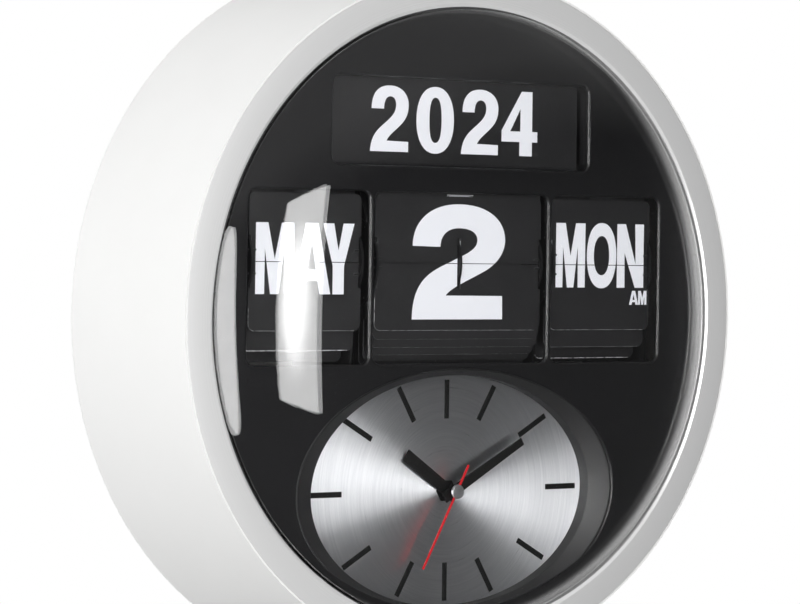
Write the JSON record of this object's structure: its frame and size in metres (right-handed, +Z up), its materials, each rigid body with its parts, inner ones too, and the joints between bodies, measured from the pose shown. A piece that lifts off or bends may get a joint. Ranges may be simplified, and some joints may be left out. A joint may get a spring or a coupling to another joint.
{
  "type": "flip calendar wall clock",
  "caption": "Round wall clock with a domed crystal, year band, flip flaps for month, date and day, and an oval dial with three hands.",
  "frame": {"origin": "on the clock's axis in the wall plane, the flat rear face of the rear cover", "axes": "+X to the right and +Z up as seen from the front, +Y backwards into the wall"},
  "size_m": [0.4, 0.137, 0.4],
  "materials": {
    "white_plastic": "fine matte",
    "satin_silver": "satin",
    "clear_crystal": "clear",
    "black_plastic": "fine matte",
    "flap_film": "fine matte",
    "brushed_dial": "brushed",
    "black_paint": "matte",
    "red_paint": "gloss",
    "zinc_steel": "plated",
    "cell_wrap": "gloss",
    "board": "solder mask"
  },
  "bodies": {
    "case": {"case_shell": "white_plastic", "front_ring": "satin_silver", "crystal": "clear_crystal", "dial_plate": "black_plastic", "dial_plate_screws": "zinc_steel", "clock_dial": "brushed_dial", "hour_markers": "black_paint", "movement_case": "black_plastic", "movement_nut": "black_paint", "flap_chassis": "black_paint", "bracket_screws": "zinc_steel", "drum_axle": "zinc_steel", "flap_catches": "zinc_steel", "drive_motors": "zinc_steel", "year_bracket": "black_paint", "year_band": "flap_film", "rear_cover": "white_plastic", "rear_cover_screws": "zinc_steel", "hanger_plate": "zinc_steel", "battery_tray": "white_plastic", "battery_cells": "cell_wrap", "battery_contacts": "zinc_steel", "control_board": "board"},
    "second_hand": {"second_hand": "red_paint"},
    "minute_hand": {"minute_hand": "black_paint"},
    "hour_hand": {"hour_hand": "black_paint"},
    "time_set_knob": {"time_set_knob": "white_plastic"},
    "month_drum": {"month_drum": "black_plastic", "month_flap_pack": "flap_film"},
    "month_setting_wheel": {"month_setting_wheel": "white_plastic"},
    "month_pinion": {"month_pinion": "white_plastic"},
    "month_falling_flap": {"month_falling_flap": "flap_film"},
    "month_next_flap": {"month_next_flap": "flap_film"},
    "month_lower_flap": {"month_lower_flap": "flap_film"},
    "month_second_flap": {"month_second_flap": "flap_film"},
    "date_drum": {"date_drum": "black_plastic", "date_flap_pack": "flap_film"},
    "date_setting_wheel": {"date_setting_wheel": "white_plastic"},
    "date_idler": {"date_idler": "white_plastic"},
    "date_pinion": {"date_pinion": "white_plastic"},
    "date_falling_flap": {"date_falling_flap": "flap_film"},
    "date_next_flap": {"date_next_flap": "flap_film"},
    "date_lower_flap": {"date_lower_flap": "flap_film"},
    "date_second_flap": {"date_second_flap": "flap_film"},
    "date_third_flap": {"date_third_flap": "flap_film"},
    "date_fourth_flap": {"date_fourth_flap": "flap_film"},
    "day_drum": {"day_drum": "black_plastic", "day_flap_pack": "flap_film"},
    "day_setting_wheel": {"day_setting_wheel": "white_plastic"},
    "day_pinion": {"day_pinion": "white_plastic"},
    "day_falling_flap": {"day_falling_flap": "flap_film"},
    "day_next_flap": {"day_next_flap": "flap_film"},
    "day_lower_flap": {"day_lower_flap": "flap_film"},
    "day_second_flap": {"day_second_flap": "flap_film"},
    "day_third_flap": {"day_third_flap": "flap_film"},
    "year_upper_roll": {"year_upper_roll": "white_plastic"},
    "year_lower_roll": {"year_lower_roll": "white_plastic"},
    "year_idler": {"year_idler": "white_plastic"},
    "year_setting_wheel": {"year_setting_wheel": "white_plastic"},
    "battery_door": {"battery_door": "white_plastic"}
  },
  "joints": [
    {"name": "second_hand_turn", "type": "hinge", "parent": "case", "child": "second_hand", "pos_m": [0, -0.075, -0.096], "axis": [0, 1, 0], "continuous": true},
    {"name": "minute_hand_turn", "type": "hinge", "parent": "case", "child": "minute_hand", "pos_m": [0, -0.075, -0.096], "axis": [0, 1, 0], "continuous": true},
    {"name": "hour_hand_turn", "type": "hinge", "parent": "case", "child": "hour_hand", "pos_m": [0, -0.075, -0.096], "axis": [0, 1, 0], "continuous": true},
    {"name": "time_set_knob_turn", "type": "hinge", "parent": "case", "child": "time_set_knob", "pos_m": [0.014, -0.005, -0.096], "axis": [0, 1, 0], "continuous": true},
    {"name": "month_drum_turn", "type": "hinge", "parent": "case", "child": "month_drum", "pos_m": [-0.1027, -0.0568, 0.0296], "axis": [1, 0, 0], "range_deg": [0, 30]},
    {"name": "month_setting_wheel_turn", "type": "hinge", "parent": "case", "child": "month_setting_wheel", "pos_m": [-0.1027, -0.0208, 0.0296], "axis": [1, 0, 0], "range_deg": [-37.5, 0]},
    {"name": "month_pinion_turn", "type": "hinge", "parent": "case", "child": "month_pinion", "pos_m": [-0.1027, -0.0208, 0.0506], "axis": [1, 0, 0], "range_deg": [0, 120]},
    {"name": "month_falling_flap_turn", "type": "hinge", "parent": "month_drum", "child": "month_falling_flap", "pos_m": [-0.1027, -0.08027, 0.03589], "axis": [1, 0, 0], "range_deg": [0, 150]},
    {"name": "month_next_flap_turn", "type": "hinge", "parent": "month_drum", "child": "month_next_flap", "pos_m": [-0.1027, -0.07398, 0.04678], "axis": [1, 0, 0], "range_deg": [-30, 0]},
    {"name": "month_lower_flap_turn", "type": "hinge", "parent": "month_drum", "child": "month_lower_flap", "pos_m": [-0.1027, -0.08027, 0.02331], "axis": [1, 0, 0], "range_deg": [-30, 0]},
    {"name": "month_second_flap_turn", "type": "hinge", "parent": "month_drum", "child": "month_second_flap", "pos_m": [-0.1027, -0.07398, 0.01242], "axis": [1, 0, 0], "range_deg": [-30, 0]},
    {"name": "date_drum_turn", "type": "hinge", "parent": "case", "child": "date_drum", "pos_m": [0, -0.0568, 0.0296], "axis": [1, 0, 0], "range_deg": [0, 11.61]},
    {"name": "date_setting_wheel_turn", "type": "hinge", "parent": "case", "child": "date_setting_wheel", "pos_m": [0, -0.0208, 0.0296], "axis": [1, 0, 0], "range_deg": [-14.52, 0]},
    {"name": "date_idler_turn", "type": "hinge", "parent": "case", "child": "date_idler", "pos_m": [0.06, -0.0208, 0.0576], "axis": [1, 0, 0], "range_deg": [0, 19.35]},
    {"name": "date_pinion_turn", "type": "hinge", "parent": "case", "child": "date_pinion", "pos_m": [0.06, -0.0208, 0.0746], "axis": [1, 0, 0], "range_deg": [-46.45, 0]},
    {"name": "date_falling_flap_turn", "type": "hinge", "parent": "date_drum", "child": "date_falling_flap", "pos_m": [0, -0.08098, 0.03206], "axis": [1, 0, 0], "range_deg": [0, 168.39]},
    {"name": "date_next_flap_turn", "type": "hinge", "parent": "date_drum", "child": "date_next_flap", "pos_m": [0, -0.07999, 0.03687], "axis": [1, 0, 0], "range_deg": [-11.61, 0]},
    {"name": "date_lower_flap_turn", "type": "hinge", "parent": "date_drum", "child": "date_lower_flap", "pos_m": [0, -0.08098, 0.02714], "axis": [1, 0, 0], "range_deg": [-11.61, 0]},
    {"name": "date_second_flap_turn", "type": "hinge", "parent": "date_drum", "child": "date_second_flap", "pos_m": [0, -0.07999, 0.02233], "axis": [1, 0, 0], "range_deg": [-11.61, 0]},
    {"name": "date_third_flap_turn", "type": "hinge", "parent": "date_drum", "child": "date_third_flap", "pos_m": [0, -0.07805, 0.01781], "axis": [1, 0, 0], "range_deg": [-11.61, 0]},
    {"name": "date_fourth_flap_turn", "type": "hinge", "parent": "date_drum", "child": "date_fourth_flap", "pos_m": [0, -0.07524, 0.01377], "axis": [1, 0, 0], "range_deg": [-11.61, 0]},
    {"name": "day_drum_turn", "type": "hinge", "parent": "case", "child": "day_drum", "pos_m": [0.1013, -0.0568, 0.0296], "axis": [1, 0, 0], "range_deg": [0, 25.71]},
    {"name": "day_setting_wheel_turn", "type": "hinge", "parent": "case", "child": "day_setting_wheel", "pos_m": [0.1013, -0.0208, 0.0296], "axis": [1, 0, 0], "range_deg": [-32.14, 0]},
    {"name": "day_pinion_turn", "type": "hinge", "parent": "case", "child": "day_pinion", "pos_m": [0.1013, -0.0208, 0.0506], "axis": [1, 0, 0], "range_deg": [0, 102.86]},
    {"name": "day_falling_flap_turn", "type": "hinge", "parent": "day_drum", "child": "day_falling_flap", "pos_m": [0.1013, -0.08049, 0.03501], "axis": [1, 0, 0], "range_deg": [0, 154.29]},
    {"name": "day_next_flap_turn", "type": "hinge", "parent": "day_drum", "child": "day_next_flap", "pos_m": [0.1013, -0.0758, 0.04475], "axis": [1, 0, 0], "range_deg": [-25.71, 0]},
    {"name": "day_lower_flap_turn", "type": "hinge", "parent": "day_drum", "child": "day_lower_flap", "pos_m": [0.1013, -0.08049, 0.02419], "axis": [1, 0, 0], "range_deg": [-25.71, 0]},
    {"name": "day_second_flap_turn", "type": "hinge", "parent": "day_drum", "child": "day_second_flap", "pos_m": [0.1013, -0.0758, 0.01445], "axis": [1, 0, 0], "range_deg": [-25.71, 0]},
    {"name": "day_third_flap_turn", "type": "hinge", "parent": "day_drum", "child": "day_third_flap", "pos_m": [0.1013, -0.06734, 0.00771], "axis": [1, 0, 0], "range_deg": [-25.71, 0]},
    {"name": "year_upper_roll_turn", "type": "hinge", "parent": "case", "child": "year_upper_roll", "pos_m": [0, -0.069, 0.141], "axis": [1, 0, 0], "range_deg": [-1570, 10080]},
    {"name": "year_lower_roll_turn", "type": "hinge", "parent": "case", "child": "year_lower_roll", "pos_m": [0, -0.069, 0.0845], "axis": [1, 0, 0], "range_deg": [-1570, 10080]},
    {"name": "year_idler_turn", "type": "hinge", "parent": "case", "child": "year_idler", "pos_m": [0.094, -0.047, 0.141], "axis": [1, 0, 0], "range_deg": [-5761, 898.14]},
    {"name": "year_setting_wheel_turn", "type": "hinge", "parent": "case", "child": "year_setting_wheel", "pos_m": [0.094, -0.019, 0.141], "axis": [1, 0, 0], "range_deg": [-898.14, 5761]},
    {"name": "battery_door_turn", "type": "hinge", "parent": "case", "child": "battery_door", "pos_m": [-0.096, -0.00135, -0.12125], "axis": [-1, 0, 0], "range_deg": [0, 95]}
  ],
  "couplings": [
    {"joint": "minute_hand_turn", "follows": "second_hand_turn", "ratio": 0.016667},
    {"joint": "hour_hand_turn", "follows": "second_hand_turn", "ratio": 0.0013889},
    {"joint": "time_set_knob_turn", "follows": "second_hand_turn", "ratio": -0.016667},
    {"joint": "month_setting_wheel_turn", "follows": "month_drum_turn", "ratio": -1.25},
    {"joint": "month_pinion_turn", "follows": "month_drum_turn", "ratio": 4},
    {"joint": "month_falling_flap_turn", "follows": "month_drum_turn", "ratio": 5},
    {"joint": "month_next_flap_turn", "follows": "month_drum_turn", "ratio": -1},
    {"joint": "month_lower_flap_turn", "follows": "month_drum_turn", "ratio": -1},
    {"joint": "month_second_flap_turn", "follows": "month_drum_turn", "ratio": -1},
    {"joint": "date_setting_wheel_turn", "follows": "date_drum_turn", "ratio": -1.25},
    {"joint": "date_idler_turn", "follows": "date_drum_turn", "ratio": 1.6667},
    {"joint": "date_pinion_turn", "follows": "date_drum_turn", "ratio": -4},
    {"joint": "date_falling_flap_turn", "follows": "date_drum_turn", "ratio": 14.5},
    {"joint": "date_next_flap_turn", "follows": "date_drum_turn", "ratio": -1},
    {"joint": "date_lower_flap_turn", "follows": "date_drum_turn", "ratio": -1},
    {"joint": "date_second_flap_turn", "follows": "date_drum_turn", "ratio": -1},
    {"joint": "date_third_flap_turn", "follows": "date_drum_turn", "ratio": -1},
    {"joint": "date_fourth_flap_turn", "follows": "date_drum_turn", "ratio": -1},
    {"joint": "day_setting_wheel_turn", "follows": "day_drum_turn", "ratio": -1.25},
    {"joint": "day_pinion_turn", "follows": "day_drum_turn", "ratio": 4},
    {"joint": "day_falling_flap_turn", "follows": "day_drum_turn", "ratio": 6},
    {"joint": "day_next_flap_turn", "follows": "day_drum_turn", "ratio": -1},
    {"joint": "day_lower_flap_turn", "follows": "day_drum_turn", "ratio": -1},
    {"joint": "day_second_flap_turn", "follows": "day_drum_turn", "ratio": -1},
    {"joint": "day_third_flap_turn", "follows": "day_drum_turn", "ratio": -1},
    {"joint": "year_lower_roll_turn", "follows": "year_upper_roll_turn", "ratio": 1},
    {"joint": "year_idler_turn", "follows": "year_upper_roll_turn", "ratio": -0.57143},
    {"joint": "year_setting_wheel_turn", "follows": "year_upper_roll_turn", "ratio": 0.57143}
  ]
}
